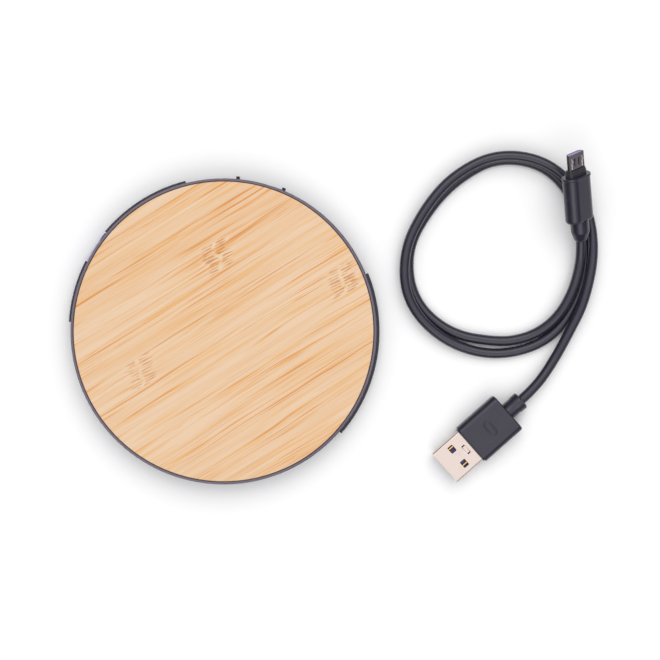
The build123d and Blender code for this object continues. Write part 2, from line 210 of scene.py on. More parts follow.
def finished(piece, body, node, slot, degrees=35, finish=None):  # the piece stands for the node
    smooth(piece, degrees)
    addModifier(piece, "WEIGHTED_NORMAL", mode="FACE_AREA", weight=50, keep_sharp=True)
    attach(piece, body)
    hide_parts(node)
    madePieces.append((piece, finish or slot))


def paint(piece, material):
    piece.data.materials.clear()
    piece.data.materials.append(material)


# ---------- shader helper ----------

class Signal:  # one output of a node: sums on it add Math nodes
    def __init__(self, tree, socket=None):
        self.tree = tree
        self.socket = socket

    def add(self, kind, settings=None, inputs=None, out=0):
        node = self.tree.nodes.new(kind)
        for name, value in (settings or {}).items():
            if name == "stops":
                for place, (position, colour) in enumerate(value):
                    if place > 1:
                        node.color_ramp.elements.new(position)
                    node.color_ramp.elements[place].position = position
                    node.color_ramp.elements[place].color = (*colour, 1)
            else:
                setattr(node, name, value)
        for key, value in (inputs or {}).items():
            self.feed(node.inputs[key], value)
        return Signal(self.tree, node.outputs[out])

    def feed(self, target, value):
        if isinstance(value, Signal):
            self.tree.links.new(value.socket, target)
        else:
            target.default_value = value

    def math(self, operation, *values, clamp=False):
        settings = {"operation": operation, "use_clamp": clamp}
        return self.add("ShaderNodeMath", settings, dict(enumerate(values)))

    def __add__(self, other):
        return self.math("ADD", self, other)

    __radd__ = __add__

    def __sub__(self, other):
        return self.math("SUBTRACT", self, other)

    def __rsub__(self, other):
        return self.math("SUBTRACT", other, self)

    def __mul__(self, other):
        return self.math("MULTIPLY", self, other)

    __rmul__ = __mul__

    def __truediv__(self, other):
        return self.math("DIVIDE", self, other)

    def step(self, low, high):  # 0 below low, 1 above high, smooth between
        settings = {"interpolation_type": "SMOOTHSTEP"}
        return self.add("ShaderNodeMapRange", settings, {0: self, 1: low, 2: high})


def mixColour(source, mask, first, second, blend="MIX"):
    settings = {"data_type": "RGBA", "blend_type": blend}
    return source.add("ShaderNodeMix", settings, {0: mask, 6: first, 7: second}, out=2)


def rgba(red, green, blue):  # a colour as it looks on a screen, 0 to 255, made linear
    def linear(value):
        share = value / 255
        return share / 12.92 if share <= 0.04045 else ((share + 0.055) / 1.055) ** 2.4
    return (linear(red), linear(green), linear(blue), 1.0)


def startMaterial(name, colour, roughness, metallic=0.0):
    material = bpy.data.materials.new(name)
    material.use_nodes = True
    shader = material.node_tree.nodes["Principled BSDF"]
    shader.inputs["Base Color"].default_value = colour
    shader.inputs["Roughness"].default_value = roughness
    shader.inputs["Metallic"].default_value = metallic
    return material, shader, Signal(material.node_tree)


def millimetres(signal):  # object coordinates in millimetres, as three numbers
    where = signal.add("ShaderNodeTexCoord", out=3)
    apart = where.add("ShaderNodeSeparateXYZ", inputs={0: where})
    tree = signal.tree
    return [Signal(tree, apart.socket.node.outputs[axis]) * 1000.0 for axis in range(3)]


def point(signal, x, y, z=0.0):
    return signal.add("ShaderNodeCombineXYZ", inputs={0: x, 1: y, 2: z})


def noise(signal, where, scale=1.0, detail=3.0, roughness=0.5):
    inputs = {"Vector": where, "Scale": scale, "Detail": detail, "Roughness": roughness}
    return signal.add("ShaderNodeTexNoise", {"noise_dimensions": "3D"}, inputs)


def bump(signal, shader, height, strength, distance):
    inputs = {"Height": height, "Strength": strength, "Distance": distance}
    signal.feed(shader.inputs["Normal"], signal.add("ShaderNodeBump", inputs=inputs))


# ---------- camera ----------

camera = {"middle": (33.79 * mm, 0.44 * mm), "height": 0.700, "lens": 118.8, "sensor": 36.0}


def makeCamera():
    data = bpy.data.cameras.new("camera")
    data.lens = camera["lens"]
    data.sensor_width = camera["sensor"]
    data.clip_start = 0.01
    eye = bpy.data.objects.new("camera", data)
    eye.location = (*camera["middle"], camera["height"])
    bpy.context.scene.collection.objects.link(eye)
    bpy.context.scene.camera = eye


makeCamera()
print("stage: camera")


# ---------- cord ----------

cord = {"diameter": 3.2 * mm, "length": 0.431}

cordRoute = [  # control points, millimetres, from the USB-A plug to the micro plug
    (94.95, -21.85, 3.8), (99.75, -17.6, 3.8), (105.6, -9.0, 3.1), (110.35, -0.1, 3.7),
    (115.2, 9.6, 4.5), (118.6, 26.1, 4.4), (115.6, 42.0, 4.1), (103.85, 54.4, 4.85),
    (87.4, 57.05, 4.85), (73.4, 50.15, 4.85), (64.05, 39.5, 4.85), (57.15, 25.65, 4.85),
    (58.1, 9.15, 4.6), (70.3, -3.55, 3.0), (87.4, -8.3, 1.65), (104.7, -3.1, 1.65),
    (114.0, 11.0, 1.65), (116.5, 26.2, 1.65), (113.0, 41.3, 1.65), (103.3, 53.2, 1.65),
    (87.6, 55.95, 1.65), (74.6, 48.85, 1.65), (65.25, 38.9, 1.65), (58.25, 25.85, 1.65),
    (60.2, 9.95, 1.65), (71.95, -0.85, 1.65), (87.6, -3.5, 1.65), (96.2, -2.3, 1.65),
    (103.1, 1.2, 2.4), (108.2, 6.7, 4.0), (111.55, 13.5, 4.45), (113.3, 19.8, 4.45),
    (113.85, 24.5, 5.3), (113.65, 29.1, 7.1),
]


def makeCord():
    data = bpy.data.curves.new("cordJacket", "CURVE")
    data.dimensions = "3D"
    data.bevel_depth = 1.0  # times each point's own radius
    data.bevel_resolution = 8
    data.use_fill_caps = True
    data.resolution_u = 12
    spline = data.splines.new("NURBS")
    spline.points.add(len(cordRoute) - 1)
    for target, place in zip(spline.points, cordRoute):
        target.co = (*[value * mm for value in place], 1.0)
        target.radius = cord["diameter"] / 2
    spline.order_u = 3
    spline.use_endpoint_u = True
    piece = bpy.data.objects.new("cordJacket", data)
    bpy.context.scene.collection.objects.link(piece)
    return piece


cordPiece = makeCord()
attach(cordPiece, "cable")
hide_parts("cord")
madePieces.append((cordPiece, "cable_pvc"))


# ---------- USB-A plug, modelled along X from the end of its boot ----------

usbA = {
    "heading": 221.5, "mouldStart": 5.8, "mouldEnd": 21.5, "lipEnd": 22.0, "shellStart": 14.5, "tip": 32.8,
    "shell": (12.0, 4.5), "wall": 0.3, "corner": 0.6, "shellEdge": 0.05,
    "mould": (14.2, 7.5), "mouldRounding": 2.2, "rearRounding": 0.7, "lipStep": 0.5, "mouldEdge": 0.16,
    "boot": [(0.0, 2.6), (0.35, 3.0), (2.5, 3.0), (2.85, 2.8), (6.4, 2.85)],
    "hollow": {"start": 2.1, "end": 8.7, "width": 9.6, "height": 4.1},  # for the inner mould
    "clearance": 0.05,
    "pill": {"length": 5.6, "width": 2.6, "line": 0.5, "depth": 0.4},
    "window": {"length": 1.95, "width": 2.4, "fromTip": 5.7, "side": 3.0, "corner": 0.3},
    "lug": {"length": 1.15, "width": 2.6, "slit": 0.32, "raised": 0.14, "fromTip": 9.0, "root": 0.25},
    "groove": {"rearWidth": 0.16, "frontWidth": 0.2, "depth": 0.22},
    "seam": {"halfWidth": 0.07, "depth": 0.1},
    "tongue": {"setIn": 0.3, "fromTip": 0.5, "thickness": 1.9, "rounding": 0.25, "sideGap": 0.1},
    "contact": {
        "sides": (-3.4, -1.0, 1.0, 3.4), "start": 25.2, "width": 0.5, "channel": 1.25, "depth": 1.1,
        "fromTip": 1.2, "low": -0.5, "high": 0.12, "edge": 0.1, "endEdge": 0.12, "endGap": 0.6,
    },
}


def usbAPlace():
    start = Vector(cordRoute[0]) * mm
    return Matrix.Translation(start) @ Matrix.Rotation(math.radians(usbA["heading"]), 4, "Z")


def openTube(piece, wall):  # both ends along X taken off, and a wall given to the rest
    select(piece, "FACE", lambda face: abs(face.normal.x) > 0.99)
    bpy.ops.mesh.delete(type="FACE")
    objectMode()
    addModifier(piece, "SOLIDIFY", thickness=wall * mm, offset=-1, use_even_offset=True)


def addUsbALug(piece):  # a small raised lug between two slits through the shell and two grooves
    lug, groove = usbA["lug"], usbA["groove"]
    height = usbA["shell"][1]
    middle, top = usbA["tip"] - lug["fromTip"], height / 2
    ahead, aside, slit = lug["length"] / 2, lug["width"] / 2, lug["slit"]
    for side in (-1, 1):
        low, high = sorted((side * aside, side * (aside + slit)))
        cutter = addBox("cutter", (middle - ahead, low, 1.0), (middle + ahead, high, height))
        combine(piece, cutter, "DIFFERENCE")
    rear = (middle - ahead - groove["rearWidth"], groove["rearWidth"])
    for edge, wide in (rear, (middle + ahead, groove["frontWidth"])):
        cutter = addBox("cutter", (edge, -aside - slit, top - groove["depth"]),
                        (edge + wide, aside + slit, height))
        combine(piece, cutter, "DIFFERENCE")
    block = addBox("lug", (middle - ahead, -aside, top - lug["root"]),
                   (middle + ahead, aside, top + lug["raised"]))
    bevelEnd(block, 2, top + lug["raised"], lug["raised"], 3)
    combine(piece, block, "UNION")


def makeUsbAShell():
    width, height = usbA["shell"]
    piece = addBar("usbAShell", usbA["shellStart"], usbA["tip"], width, height, usbA["corner"], 5)
    openTube(piece, usbA["wall"])
    window = usbA["window"]
    for side in (-1, 1):
        middle = (usbA["tip"] - window["fromTip"], side * window["side"])
        ahead, aside = window["length"] / 2, window["width"] / 2
        cutter = addBox("cutter", (middle[0] - ahead, middle[1] - aside, -height),
                        (middle[0] + ahead, middle[1] + aside, height))
        bevelEdges(cutter, lambda edge: alongAxis(edge, 2), window["corner"], 3)
        combine(piece, cutter, "DIFFERENCE")
    addUsbALug(piece)
    seam = usbA["seam"]
    cutter = addBox("cutter", (usbA["shellStart"] - 1, -seam["halfWidth"], -height),
                    (usbA["tip"] + 1, seam["halfWidth"], -height / 2 + seam["depth"]))
    combine(piece, cutter, "DIFFERENCE")
    softenEdges(piece, usbA["shellEdge"])
    putAt(piece, usbAPlace())
    finished(piece, "cable", "usb_a_shell", "shell_steel")


def makeUsbAGrip():
    width, height = usbA["mould"]
    start, end = usbA["mouldStart"], usbA["mouldEnd"]
    piece = addBar("usbAGrip", start, end, width, height, usbA["mouldRounding"], 8)
    bevelEnd(piece, 0, start, usbA["rearRounding"], 4)
    select(piece, "FACE", lambda face: facing(face, 0, 1))
    bpy.ops.mesh.inset(thickness=usbA["lipStep"] * mm, depth=0)
    step = {"value": ((usbA["lipEnd"] - end) * mm, 0, 0)}
    bpy.ops.mesh.extrude_region_move(TRANSFORM_OT_translate=step)
    objectMode()
    pill = usbA["pill"]
    pressedOutline(piece, pill["length"], pill["width"], pill["line"], height / 2, pill["depth"], 0.0,
                   ((start + end) / 2, 0.0))
    softenEdges(piece, usbA["mouldEdge"])
    gap = usbA["clearance"]
    shellWidth, shellHeight = usbA["shell"]
    bore = addBar("cutter", usbA["shellStart"] - 2 * gap, end + 2, shellWidth + gap, shellHeight + gap,
                  usbA["corner"], 5)
    combine(piece, bore, "DIFFERENCE")
    hollow = usbA["hollow"]
    aside, tall = hollow["width"] / 2, hollow["height"] / 2
    cutter = addBox("cutter", (start + hollow["start"], -aside, -tall), (start + hollow["end"], aside, tall))
    combine(piece, cutter, "DIFFERENCE")
    combine(piece, addTurned("boot", usbA["boot"]), "UNION")
    putAt(piece, usbAPlace())
    finished(piece, "cable", "usb_a_overmould", "cable_pvc", 40)


def makeUsbAInsulator():
    tongue, contact = usbA["tongue"], usbA["contact"]
    width = usbA["shell"][0] - 2 * usbA["wall"] - tongue["sideGap"]
    start, end = usbA["shellStart"] + tongue["setIn"], usbA["tip"] - tongue["fromTip"]
    piece = addBox("usbAInsulator", (start, -width / 2, -tongue["thickness"]), (end, width / 2, 0.0))
    bevelEnd(piece, 0, end, tongue["rounding"], 3)
    half = contact["channel"] / 2
    for side in contact["sides"]:
        channel = addBox("cutter", (contact["start"], side - half, -contact["depth"]),
                         (end - contact["endGap"], side + half, 1.0))
        combine(piece, channel, "DIFFERENCE")
    putAt(piece, usbAPlace())
    finished(piece, "cable", "usb_a_insulator", "purple_insulator")


def makeUsbAContacts():  # four springs, each on a low rib in its channel
    contact = usbA["contact"]
    start, end = contact["start"] + 0.1, usbA["tip"] - contact["fromTip"]
    half = contact["width"] / 2
    strips = []
    for side in contact["sides"]:
        strip = addBox("strip", (start, side - half, contact["low"]), (end, side + half, contact["high"]))
        bevelEdges(strip, lambda edge: alongAxis(edge, 0) and edge.verts[0].co.z > 0, contact["edge"], 2)
        bevelEnd(strip, 0, end, contact["endEdge"], 2)
        strips.append(strip)
    piece = strips[0]
    piece.name = "usbAContacts"
    activate(piece)
    for strip in strips[1:]:
        strip.select_set(True)
    bpy.ops.object.join()
    putAt(piece, usbAPlace())
    finished(piece, "cable", "usb_a_contacts", "contact_gold")


makeUsbAShell()
makeUsbAInsulator()
makeUsbAContacts()
makeUsbAGrip()
print("stage: USB-A plug")


# ---------- micro-USB plug, modelled along X with its hooks on top ----------

micro = {
    "heading": 97.2, "pitch": 22.0, "roll": 40.0,
    "mouldStart": 6.4, "lipStart": 20.9, "mouldEnd": 21.8, "noseEnd": 24.0, "shellStart": 17.0, "tip": 29.1,
    "shell": (6.85, 1.8), "cut": 0.7, "wall": 0.25, "corner": 0.15, "shellEdge": 0.03,
    "mould": (10.2, 5.8), "mouldRounding": 2.8, "rearRounding": 1.2,
    "lip": (10.8, 6.1), "lipRounding": 3.0, "lipEdge": 0.25,
    "boot": [(0.0, 1.9), (0.5, 2.25), (2.6, 2.9), (3.2, 3.0), (7.0, 3.0)],
    "nose": (7.5, 3.1), "noseRounding": 0.9, "noseSetIn": 1.0, "noseBore": 0.02,
    "collar": {"length": 0.7, "overlap": 0.1, "narrower": 0.35, "lessRound": 0.15, "edge": 0.15},
    "rear": {"start": 9.0, "size": (7.6, 3.6), "rounding": 1.2},  # the inner mould's hidden end
    "clearance": 0.05,
    "slot": {"length": 3.7, "width": 0.62, "side": 2.35, "fromNose": 0.25},
    "hookRoom": {"fromNose": 0.05, "toNose": 4.15, "halfWidth": 0.4, "low": -0.15},
    "mouth": {"start": 3.0, "fromTip": 1.2, "halfWidth": 2.0, "low": -0.85, "high": -0.35},
    "insulator": {"setIn": 0.3, "fromTip": 0.08, "gap": 0.05, "cut": 0.55, "edge": 0.04},
    "oval": {"length": 2.6, "width": 0.8, "line": 0.18, "depth": 0.12, "raised": 0.06, "side": 0.95,
             "fromNose": 2.4},
}


def microPlace():
    turn = Matrix.Rotation(math.radians(micro["heading"]), 4, "Z")
    lift = Matrix.Rotation(math.radians(-micro["pitch"]), 4, "Y")
    roll = Matrix.Rotation(math.radians(micro["roll"]), 4, "X")
    return Matrix.Translation(Vector(cordRoute[-1]) * mm) @ turn @ lift @ roll


def onCutSide(edge):  # a long edge on the side away from the hooks
    return alongAxis(edge, 0) and edge.verts[0].co.z < 0


def makeMicroShell():
    width, height = micro["shell"]
    piece = addBox("microShell", (micro["shellStart"], -width / 2, -height / 2),
                   (micro["tip"], width / 2, height / 2))
    bevelEdges(piece, onCutSide, micro["cut"], 1)
    bevelEdges(piece, lambda edge: alongAxis(edge, 0), micro["corner"], 3)
    openTube(piece, micro["wall"])
    slot = micro["slot"]
    start = micro["noseEnd"] + slot["fromNose"]
    for side in (-1, 1):
        middle = side * slot["side"]
        cutter = addBox("cutter", (start, middle - slot["width"] / 2, 0.0),
                        (start + slot["length"], middle + slot["width"] / 2, height))
        combine(piece, cutter, "DIFFERENCE")
    oval = micro["oval"]
    putAt(piece, Matrix.Rotation(math.radians(90), 4, "Z"))
    for side in (-1, 1):  # the ovals run along the plug, so the plug is turned while they are pressed
        pressedOutline(piece, oval["length"], oval["width"], oval["line"], height / 2, oval["depth"],
                       oval["raised"], (side * oval["side"], micro["noseEnd"] + oval["fromNose"]))
    putAt(piece, Matrix.Rotation(math.radians(-90), 4, "Z"))
    softenEdges(piece, micro["shellEdge"])
    putAt(piece, microPlace())
    # its steel is painted dark, a painted shade
    finished(piece, "cable", "micro_shell", "shell_steel", finish="micro_steel_painted_dark")


def makeMicroInsulator():
    width, height = micro["shell"]
    size, room, mouth = micro["insulator"], micro["hookRoom"], micro["mouth"]
    gap = micro["wall"] + size["gap"]
    start, end = micro["shellStart"] + size["setIn"], micro["tip"] - size["fromTip"]
    piece = addBox("microInsulator", (start, gap - width / 2, gap - height / 2),
                   (end, width / 2 - gap, height / 2 - gap))
    bevelEdges(piece, onCutSide, size["cut"], 1)
    for side in (-1, 1):
        middle = side * micro["slot"]["side"]
        cutter = addBox(
            "cutter", (micro["noseEnd"] + room["fromNose"], middle - room["halfWidth"], room["low"]),
            (micro["noseEnd"] + room["toNose"], middle + room["halfWidth"], 2))
        combine(piece, cutter, "DIFFERENCE")
    cutter = addBox("cutter", (micro["shellStart"] + mouth["start"], -mouth["halfWidth"], mouth["low"]),
                    (end - mouth["fromTip"], mouth["halfWidth"], mouth["high"]))
    combine(piece, cutter, "DIFFERENCE")
    softenEdges(piece, size["edge"])
    putAt(piece, microPlace())
    # painted with the lighter copy of the insulator plastic, painted light
    finished(piece, "cable", "micro_insulator", "purple_insulator", finish="insulator_painted_lighter")


def makeMicroGrip():
    width, height = micro["mould"]
    start, end, gap = micro["mouldStart"], micro["mouldEnd"], micro["clearance"]
    piece = addBar("microGrip", start, end - 0.1, width, height, micro["mouldRounding"], 9)
    bevelEnd(piece, 0, start, micro["rearRounding"], 5)
    lipWidth, lipHeight = micro["lip"]
    lip = addBar("lip", micro["lipStart"], end, lipWidth, lipHeight, micro["lipRounding"], 9)
    bevelEnd(lip, 0, end, micro["lipEdge"], 3)
    bevelEnd(lip, 0, micro["lipStart"], micro["lipEdge"], 3)
    combine(piece, lip, "UNION")
    combine(piece, addTurned("boot", micro["boot"]), "UNION")
    noseWidth, noseHeight = micro["nose"]
    recess = addBar("cutter", end - micro["noseSetIn"] - gap, end + 1, noseWidth + gap, noseHeight + gap,
                    micro["noseRounding"])
    combine(piece, recess, "DIFFERENCE")
    rear = micro["rear"]
    rearWidth, rearHeight = rear["size"]
    hollow = addBar("cutter", rear["start"] - gap, end, rearWidth + gap, rearHeight + gap, rear["rounding"])
    combine(piece, hollow, "DIFFERENCE")
    putAt(piece, microPlace())
    finished(piece, "cable", "micro_overmould", "cable_pvc", 40)


def makeMicroNose():  # the inner mould, whose front shows as a stepped collar round the shell
    width, height = micro["nose"]
    collar, rear, gap = micro["collar"], micro["rear"], micro["noseBore"]
    start, end = micro["mouldEnd"] - micro["noseSetIn"], micro["noseEnd"]
    piece = addBar("microNose", start, end - collar["length"], width, height, micro["noseRounding"])
    front = addBar("front", end - collar["length"] - collar["overlap"], end, width - collar["narrower"],
                   height - collar["narrower"], micro["noseRounding"] - collar["lessRound"])
    bevelEnd(front, 0, end, collar["edge"], 2)
    combine(piece, front, "UNION")
    combine(piece, addBar("rear", rear["start"], start, *rear["size"], rear["rounding"]), "UNION")
    aside, tall = [size / 2 + gap for size in micro["shell"]]
    bore = addBox("cutter", (micro["shellStart"] - 0.1, -aside, -tall), (end + 1, aside, tall))
    bevelEdges(bore, onCutSide, micro["cut"], 1)
    combine(piece, bore, "DIFFERENCE")
    putAt(piece, microPlace())
    finished(piece, "cable", "micro_inner_mould", "inner_mould", 40)


makeMicroShell()
makeMicroNose()
makeMicroInsulator()
makeMicroGrip()
print("stage: micro-USB plug")

plugPieces = [piece.name for piece, finish in madePieces if piece != cordPiece]
print("stage: cord")


# ---------- pad ----------

pad = {
    "bamboo": {"radius": 47.6, "low": 8.0, "high": 9.0, "rounding": 0.22},
    "foot": {
        "circle": 38.0, "radius": 4.5, "high": 1.0, "rounding": 0.3, "dish": 0.12, "rim": 0.7, "step": 0.15,
    },
}
mergeDistance = 0.001  # millimetres, between corners that are the same one


def makeBambooTop():
    size = pad["bamboo"]
    piece = addDisc("bambooTop", size["radius"], size["low"], size["high"], sides=256)
    bevelEnd(piece, 2, size["high"], size["rounding"], 4)
    finished(piece, "pad", "bamboo_disc", "bamboo")


def makeFeet():
    size = pad["foot"]
    for number, angle in enumerate((45, 135, 225, 315), start=1):
        turn = math.radians(angle)
        place = (size["circle"] * math.cos(turn), size["circle"] * math.sin(turn))
        piece = addDisc(f"rubberFoot{number}", size["radius"], 0.0, size["high"], place)
        bevelEnd(piece, 2, 0.0, size["rounding"], 3)
        select(piece, "FACE", lambda face: facing(face, 2, -1))
        bpy.ops.mesh.inset(thickness=size["rim"] * mm, depth=0)
        bpy.ops.mesh.inset(thickness=size["step"] * mm, depth=-size["dish"] * mm)
        objectMode()
        finished(piece, "pad", f"foot_{number}", "foot_rubber")


def smoothCopy(node, body):  # the CAD shape with its seams merged and its round faces smooth
    source = nodes[node]
    piece = source.copy()
    piece.data = source.data.copy()
    piece.name = node + "_smooth"
    for key in list(piece.keys()):
        del piece[key]
    bpy.context.scene.collection.objects.link(piece)
    piece.parent = None
    select(piece, "FACE", lambda face: True)
    bpy.ops.mesh.remove_doubles(threshold=mergeDistance * mm)
    objectMode()
    slot = next(row["material_slot"] for row in frame["record"]["subparts"] if row["node"] == node)
    finished(piece, body, node, slot, 30)


makeBambooTop()
makeFeet()
for node in ("top_shell", "base_shell", "light_guide", "transmitter_coil", "coil_leads"):
    smoothCopy(node, "pad")
print("stage: pad")


# ---------- materials ----------

bamboo = {
    "grainAngle": 32.0,       # degrees above +X
    "stripWidth": 9.1,        # millimetres
    "stripStart": 7.6,        # where one joint between strips crosses the grain
    "shades": [(0.0, (229, 198, 166)), (0.25, (227, 188, 147)), (0.5, (226, 176, 121)),
               (0.75, (223, 160, 94)), (1.0, (214, 142, 72))],
    "golden": rgba(228, 172, 92),
    "lilac": rgba(206, 168, 146),
    "knuckleBrown": rgba(196, 132, 72),
    "knucklePale": rgba(232, 200, 160),
    "roughness": 0.48,
    # place along and across the grain, strength, number for its own noise
    "knuckles": [(11.1, 21.3, 1.0, 3.0), (40.8, -6.1, 0.95, 11.0), (-29.0, 3.0, 0.7, 19.0)],
}


def knuckle(signal, along, across, spot):  # columns of short dashes round a faint wavy line
    placeAlong, placeAcross, strength, seed = spot
    inStrip = (across - placeAcross) / (bamboo["stripWidth"] / 2)
    within = 1.0 - inStrip.math("ABSOLUTE", inStrip).step(0.90, 1.02)
    bend = noise(signal, point(signal, inStrip * 1.3, seed, seed), 1.0, 2.0)
    away = along - placeAlong - (bend - 0.5) * 7.0 - inStrip * 1.2
    size = away.math("ABSOLUTE", away)
    ragged = noise(signal, point(signal, across * 1.4, seed + 2.0), 1.0, 1.0) * 7.0
    slant = across * 1.12 + along * 0.10 + (bend - 0.5) * 2.4
    rows = slant.math("PINGPONG", slant, 0.5) * 2.0
    breaks = noise(signal, point(signal, along * 0.22, across * 0.9, seed), 1.0, 1.0)
    right = away.step(0.2, 0.6) * (1.0 - (away - ragged).step(-0.4, 1.6))
    left = (1.0 - away.step(-1.2, -0.7)) * (away + ragged * 0.8).step(-2.2, -0.8)
    dashes = (rows + (breaks - 0.5) * 2.2).step(0.48, 0.80) * (right + left * 0.85) * within * strength
    blobs = noise(signal, point(signal, along * 0.28, across * 0.7, seed + 5.0), 1.0, 2.0)
    pale = (1.0 - size.step(0.1, 0.9)) * 0.2 + blobs.step(0.48, 0.62) * (1.0 - size.step(2.0, 7.5)) * 0.8
    return dashes, pale * within * strength, (1.0 - size.step(3.0, 16.0)) * within


def bambooMaterial():
    material, shader, signal = startMaterial("bambooStrips", rgba(235, 195, 152), bamboo["roughness"])
    x, y = millimetres(signal)[:2]
    turn = math.radians(bamboo["grainAngle"])
    along = x * math.cos(turn) + y * math.sin(turn)
    across = y * math.cos(turn) - x * math.sin(turn)
    strip = (across - bamboo["stripStart"]) / bamboo["stripWidth"]
    number = strip.math("FLOOR", strip)
    inStrip = strip - number
    toneOfStrip = signal.add("ShaderNodeTexWhiteNoise", {"noise_dimensions": "1D"}, {"W": number})
    shifted = along + toneOfStrip * 400.0
    wander = noise(signal, point(signal, shifted * 0.014, across * 0.06, number), 1.0, 2.0)
    curl = noise(signal, point(signal, shifted * 0.05, across * 0.22, number), 1.0, 1.0)
    wavy = across + (wander - 0.5) * 3.0 + (curl - 0.5) * 0.5

    marks = [knuckle(signal, along, across, spot) for spot in bamboo["knuckles"]]
    dashes = marks[0][0] + marks[1][0] + marks[2][0]
    pale = marks[0][1] + marks[1][1] + marks[2][1]
    around = marks[0][2] + marks[1][2] * 0.7 + marks[2][2] * 0.3

    # fibres crowd towards one side of each strip: the upper side above the middle, the lower below it
    side = number.math("GREATER_THAN", number, -2.5) * 2.0 - 1.0
    crowding = noise(signal, point(signal, shifted * 0.020, wavy * 0.30, number), 1.0, 2.0)
    crowd = (crowding - 0.5) * 2.3 + side * (inStrip - 0.5) * 0.6 + 0.5 + around * 0.25
    lines = noise(signal, point(signal, shifted * 0.020, wavy * 1.45, number), 1.0, 2.0, 0.6)
    hairs = noise(signal, point(signal, shifted * 0.06, wavy * 2.5, number + 9.0), 1.0, 2.0, 0.6)
    bands = noise(signal, point(signal, shifted * 0.016, wavy * 0.45, number), 1.0, 3.0)
    streaks = lines.step(0.50, 0.66) * crowd.step(0.15, 0.85)
    threads = hairs.step(0.52, 0.68) * crowd.step(0.25, 0.95)
    depth = 0.15 + (bands - 0.5) * 0.9 + (toneOfStrip - 0.5) * 0.12 + streaks * 0.85 + threads * 0.42
    depth = depth + (hairs - 0.5) * 0.25 + (lines - 0.5) * 0.35 - pale * 0.5
    stops = [(position, rgba(*colour)[:3]) for position, colour in bamboo["shades"]]
    colour = signal.add("ShaderNodeValToRGB", {"stops": stops}, {0: depth})

    gold = noise(signal, point(signal, shifted * 0.03, wavy * 0.8, number + 3.0), 1.0, 1.0)
    colour = mixColour(signal, gold.step(0.55, 0.72) * 0.55, colour, bamboo["golden"])
    grey = noise(signal, point(signal, shifted * 0.035, wavy * 2.2, number + 7.0), 1.0, 1.0)
    colour = mixColour(signal, grey.step(0.64, 0.74) * 0.5, colour, bamboo["lilac"])
    colour = mixColour(signal, (pale * 0.6).step(0.0, 1.0), colour, bamboo["knucklePale"])
    colour = mixColour(signal, dashes * 0.9, colour, bamboo["knuckleBrown"])
    seam = 1.0 - inStrip.math("PINGPONG", inStrip, 0.5).step(0.0, 0.018)
    colour = mixColour(signal, seam * 0.25, colour, bamboo["lilac"])
    signal.feed(shader.inputs["Base Color"], colour)
    signal.feed(shader.inputs["Roughness"], bamboo["roughness"] + hairs * 0.12 - streaks * 0.05)
    bump(signal, shader, hairs * 0.5 + lines * 0.5 - dashes * 0.5 - seam, 0.3, 0.00004)
    return material


def mouldedPlastic(name, colour, roughness, grain=7.0, depth=0.00002, speckle=0.12):
    material, shader, signal = startMaterial(name, colour, roughness)
    x, y, z = millimetres(signal)
    where = point(signal, x, y, z)
    pits = noise(signal, where, grain, 2.0)
    clouds = noise(signal, where, 0.18, 3.0)
    lighter = [min(1.0, value * 1.5 + 0.004) for value in colour[:3]] + [1.0]
    tone = mixColour(signal, clouds.step(0.35, 0.75) * speckle + pits * 0.06, colour, lighter)
    signal.feed(shader.inputs["Base Color"], tone)
    signal.feed(shader.inputs["Roughness"], roughness + (clouds - 0.5) * 0.14 + (pits - 0.5) * 0.10)
    bump(signal, shader, pits, 0.3, depth)
    return material


def bareMetal(name, colour, roughness, scratches=0.5):
    material, shader, signal = startMaterial(name, colour, roughness, 1.0)
    x, y, z = millimetres(signal)
    clouds = noise(signal, point(signal, x, y, z), 0.35, 4.0)
    lines = noise(signal, point(signal, x * 0.9 + y * 0.8, (x - y) * 7.0, z * 7.0), 1.0, 3.0)
    specks = noise(signal, point(signal, x, y, z), 2.3, 2.0)
    duller = [value * 0.86 for value in colour[:3]] + [1.0]
    tone = mixColour(signal, clouds.step(0.5, 0.85) * scratches, colour, duller)
    tone = mixColour(signal, specks.step(0.68, 0.76) * 0.35 * scratches, tone, rgba(176, 150, 150))
    signal.feed(shader.inputs["Base Color"], tone)
    rough = roughness + (lines - 0.5) * 0.12 * scratches + (clouds - 0.5) * 0.08
    signal.feed(shader.inputs["Roughness"], rough)
    bump(signal, shader, lines, 0.12 * scratches, 0.00001)
    return material


lens = {  # the painted blue glow's place and reach in millimetres
    "clear": rgba(206, 202, 232), "blue": rgba(58, 56, 150), "blueAt": (-37.9, 30.9), "reach": 3.1,
}


def lensMaterial():  # clear plastic with the blue light of its lamp painted on at one end, a painted glow
    material, shader, signal = startMaterial("lightLens", lens["clear"], 0.3)
    x, y, z = millimetres(signal)
    blueX, blueY = lens["blueAt"]
    away = signal.math("POWER", x - blueX, 2.0) + signal.math("POWER", y - blueY, 2.0)
    haze = noise(signal, point(signal, x, y, z), 1.2, 2.0)
    # painted glow: the lamp's blue light painted into the lens colour
    glow = 1.0 - away.step(0.3, lens["reach"] ** 2) + (haze - 0.5) * 0.2
    signal.feed(shader.inputs["Base Color"], mixColour(signal, glow, lens["clear"], lens["blue"]))
    signal.feed(shader.inputs["Roughness"], 0.25 + haze * 0.15)
    return material


